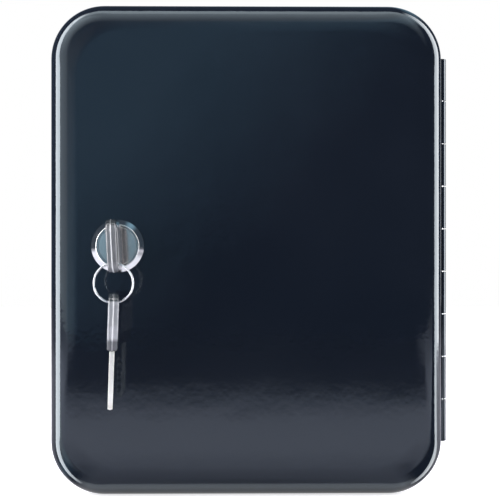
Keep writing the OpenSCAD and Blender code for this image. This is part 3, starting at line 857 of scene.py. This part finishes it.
def ring_plate():
    material, tree, shader, place = material_of("bright_nickel_wire")
    clouds = grain(tree, place, 1.5 * mm, detail=3)
    colour = mix(tree, spread(tree, clouds, 0, 1), (0.56, 0.57, 0.58), (0.66, 0.67, 0.68))
    tree.links.new(colour, shader.inputs["Base Color"])
    shader.inputs["Metallic"].default_value = 1
    tree.links.new(spread(tree, clouds, 0.2, 0.32), shader.inputs["Roughness"])
    tree.links.new(relief(tree, grain(tree, place, 0.3 * mm), 0.004 * mm), shader.inputs["Normal"])
    return material


ring.data.shade_smooth()
ring.data.set_sharp_from_angle(angle=math.radians(50))
ring.data.materials.append(ring_plate())
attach(ring, "ring")
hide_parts("split_ring")


# Studio: a white table under and in front of the cabinet, a tall strip light on either side, a weak one
# above, and two dim panels that light the painted steel alone. The backdrop is white for the camera,
# and the paint and chrome mirror a dark room. The camera stands square in front of the lock side.
table_front = -900 * mm
table_back = 1400 * mm
table_half = 1500 * mm
table_z = cad_low.z - 0.05 * mm
table_lift = 0.7
# Strength of the painted glow that the paint mirrors under the door.
painted_glow_under_door = 1.5
slant = 0.45


def table_white():
    """White for the camera. What the paint mirrors of it carries painted shade and a painted glow, shaped by
    its place in lengths of X and Y.
    """
    material, tree, shader, place = material_of("white_table")
    clouds = grain(tree, place, 90 * mm, detail=3)
    white = mix(tree, clouds, (0.75, 0.73, 0.82), (0.79, 0.77, 0.86))
    shader.inputs["Roughness"].default_value = 0.6
    rays = node(tree, "ShaderNodeLightPath", {}).outputs
    parts = node(tree, "ShaderNodeSeparateXYZ", {"Vector": place}).outputs
    deep = parts["Y"]
    across = reckon(tree, "ABSOLUTE", parts["X"])

    # Painted shade: in the paint it grows darker towards the cabinet's foot, a painted shadow of the cabinet,
    # and far out in front of the cabinet, a painted dark end of the table.
    near = spread(tree, deep, 1, 0.52, -185 * mm, -100 * mm)
    far = reckon(tree, "MAXIMUM", spread(tree, deep, 0.05, 1, -460 * mm, -290 * mm),
                 spread(tree, across, 0, 1, 200 * mm, 300 * mm))
    painted_shade_in_paint = reckon(tree, "MULTIPLY", near, far)
    plain = reckon(tree, "SUBTRACT", 1, rays["Is Glossy Ray"])
    tone = reckon(tree, "MAXIMUM", painted_shade_in_paint, plain)
    tree.links.new(mix(tree, tone, (0, 0, 0), white), shader.inputs["Base Color"])

    # Under the door's lower edge the table glows for mirrored rays alone, a painted reflection of a band of
    # bright table in the paint.
    under = reckon(tree, "MULTIPLY", spread(tree, across, 1, 0, 78 * mm, 88 * mm),
                   spread(tree, deep, 0, 1, -84.5 * mm, -82.5 * mm))
    under = reckon(tree, "MULTIPLY", under, spread(tree, deep, 1, 0.45, -80 * mm, -76 * mm))
    mirrored = reckon(tree, "MULTIPLY", under, rays["Is Glossy Ray"])
    mirrored = reckon(tree, "MULTIPLY", mirrored, painted_glow_under_door)
    seen = reckon(tree, "MAXIMUM", rays["Is Camera Ray"], rays["Is Transmission Ray"])
    seen = reckon(tree, "MULTIPLY", seen, table_lift)
    lift = reckon(tree, "ADD", seen, mirrored)
    glow = node(tree, "ShaderNodeEmission", {"Strength": lift}).outputs[0]
    both = node(tree, "ShaderNodeAddShader", {0: shader.outputs[0], 1: glow}).outputs[0]

    # Beside the cabinet mirrored rays pass the table, so the side lights' lines run into the lower corners.
    slanting = reckon(tree, "MULTIPLY_ADD", across, slant, deep)
    beside = reckon(tree, "MULTIPLY", spread(tree, slanting, 0, 1, -96 * mm, -72 * mm),
                    spread(tree, across, 0, 1, 66 * mm, 76 * mm))
    beside = reckon(tree, "MULTIPLY", beside, spread(tree, deep, 1, 0, -76 * mm, -60 * mm))
    beside = reckon(tree, "MULTIPLY", beside, rays["Is Glossy Ray"])
    clear = node(tree, "ShaderNodeBsdfTransparent", {}).outputs[0]
    board = node(tree, "ShaderNodeMixShader", {0: beside, 1: both, 2: clear}).outputs[0]
    tree.links.new(board, tree.nodes["Material Output"].inputs["Surface"])
    return material


table_shape = bmesh.new()
bmesh.ops.create_grid(table_shape, x_segments=1, y_segments=1, size=1)
bmesh.ops.scale(table_shape, vec=(table_half, (table_back - table_front) / 2, 1), verts=table_shape.verts)
bmesh.ops.translate(table_shape, vec=(0, (table_back + table_front) / 2, table_z), verts=table_shape.verts)
table = show(table_shape, "table")
table.data.materials.append(table_white())
table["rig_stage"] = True


def lamp_panel(name, place, aim, width, height, power, colour=(0.94, 0.98, 1.0)):
    """A flat lamp in metres and watts, turned towards aim."""
    lamp = bpy.data.lights.new(name, "AREA")
    lamp.shape = "RECTANGLE"
    lamp.size = width
    lamp.size_y = height
    lamp.energy = power
    lamp.color = colour
    holder = bpy.data.objects.new(name, lamp)
    holder.location = place
    holder.rotation_euler = (Vector(aim) - Vector(place)).to_track_quat("-Z", "Y").to_euler()
    bpy.context.scene.collection.objects.link(holder)
    return holder


def fade(panel, ramps):
    """Lets a lamp's glow change across it: an axis, two strengths and two places from 0 to 1 per ramp."""
    panel.data.use_nodes = True
    tree = panel.data.node_tree
    across = node(tree, "ShaderNodeNewGeometry", {}).outputs["Parametric"]
    parts = node(tree, "ShaderNodeSeparateXYZ", {"Vector": across}).outputs
    strength = 1
    for axis, low, high, start, stop in ramps:
        ramp = spread(tree, parts[axis], low, high, start, stop)
        strength = reckon(tree, "MULTIPLY", strength, ramp)
    tree.links.new(strength, tree.nodes["Emission"].inputs["Strength"])


strip_colour = (1.0, 0.98, 0.99)
strip_fades = (("Y", 1, 0, 0.62, 1), ("Y", 0.4, 1, 0, 0.31))
left_strip = lamp_panel("left_strip", (-0.752, -0.235, 0.3), (0, -0.08, 0.3), 0.34, 3.2, 47.6, strip_colour)
fade(left_strip, strip_fades)
right_strip = lamp_panel("right_strip", (0.75, -0.02, 0.3), (0, -0.08, 0.3), 0.45, 3.2, 46.1, strip_colour)
fade(right_strip, strip_fades)
top_strip = lamp_panel("top_strip", (0.07, -0.26, 0.828), (0.07, -0.08, 0.1), 1.5, 0.24, 4.75)
fade(top_strip, (("X", 1, 0.6, 0.4, 0.8),))

lit_by_panels = bpy.data.collections.new("lit_by_panels")
for piece in [body, door] + leaves:
    lit_by_panels.objects.link(piece)
left_panel = lamp_panel("left_panel", (-1.065, -1.341, 0.8), (-0.08, -0.08, 0.8), 1.7, 3.6, 45)
fade(left_panel, (("X", 1, 0, 0.68, 1), ("X", 1, 0.6, 0.1, 0.75), ("Y", 0, 1, 0, 0.15), ("Y", 1, 0, 0.85, 1)))
top_panel = lamp_panel("top_panel", (-0.4, -1.269, 1.17), (-0.4, -0.08, 0.1), 3.6, 1.49, 39.6)
fade(top_panel, (("Y", 0, 1, 0, 0.85), ("X", 0, 1, 0, 0.15), ("X", 1, 0, 0.85, 1)))
for panel in (left_panel, top_panel):
    panel.light_linking.receiver_collection = lit_by_panels

# The room: dim, with a slanting band of cool window light, and white straight behind the cabinet.
world = bpy.data.worlds.new("studio")
world.use_nodes = True
bpy.context.scene.world = world
sky = world.node_tree
background = sky.nodes["Background"]
rays = node(sky, "ShaderNodeLightPath", {}).outputs
direction = node(sky, "ShaderNodeTexCoord", {}).outputs["Generated"]
parts = node(sky, "ShaderNodeSeparateXYZ", {"Vector": direction}).outputs
towards = reckon(sky, "SUBTRACT", reckon(sky, "MULTIPLY", parts["Z"], 0.9), parts["X"])
window = reckon(sky, "MULTIPLY", spread(sky, towards, 0, 1, 0, 0.2), spread(sky, towards, 1, 0, 0.3, 0.5))
room = mix(sky, window, (0.06, 0.08, 0.11), (0.34, 0.57, 0.74))
backdrop = spread(sky, parts["Y"], 0, 1, 0.82, 0.94)
room = mix(sky, backdrop, room, (1, 1, 1))
seen = reckon(sky, "MAXIMUM", rays["Is Camera Ray"], rays["Is Transmission Ray"])
lit = mix(sky, rays["Is Glossy Ray"], (0.55, 0.55, 0.55), room)
sky.links.new(mix(sky, seen, lit, (1, 1, 1)), background.inputs["Color"])
background.inputs["Strength"].default_value = 1

lens_pixels = 1114
image_pixels = 500
camera_distance = 450 * mm
camera_turn = math.radians(0.75)
camera_aim_x = 1.35 * mm
sensor_width = 36
nearest_seen = 10 * mm
camera_data = bpy.data.cameras.new("camera")
camera_data.sensor_width = sensor_width
camera_data.lens = sensor_width * lens_pixels / image_pixels
camera_data.clip_start = nearest_seen
camera = bpy.data.objects.new("camera", camera_data)
camera.location = (camera_aim_x - camera_distance * math.sin(camera_turn),
                   door_low.y - camera_distance * math.cos(camera_turn), 0)
camera.rotation_euler = (math.radians(90), 0, -camera_turn)
bpy.context.scene.collection.objects.link(camera)
bpy.context.scene.camera = camera
bpy.context.scene.view_settings.view_transform = "Standard"

low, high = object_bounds()
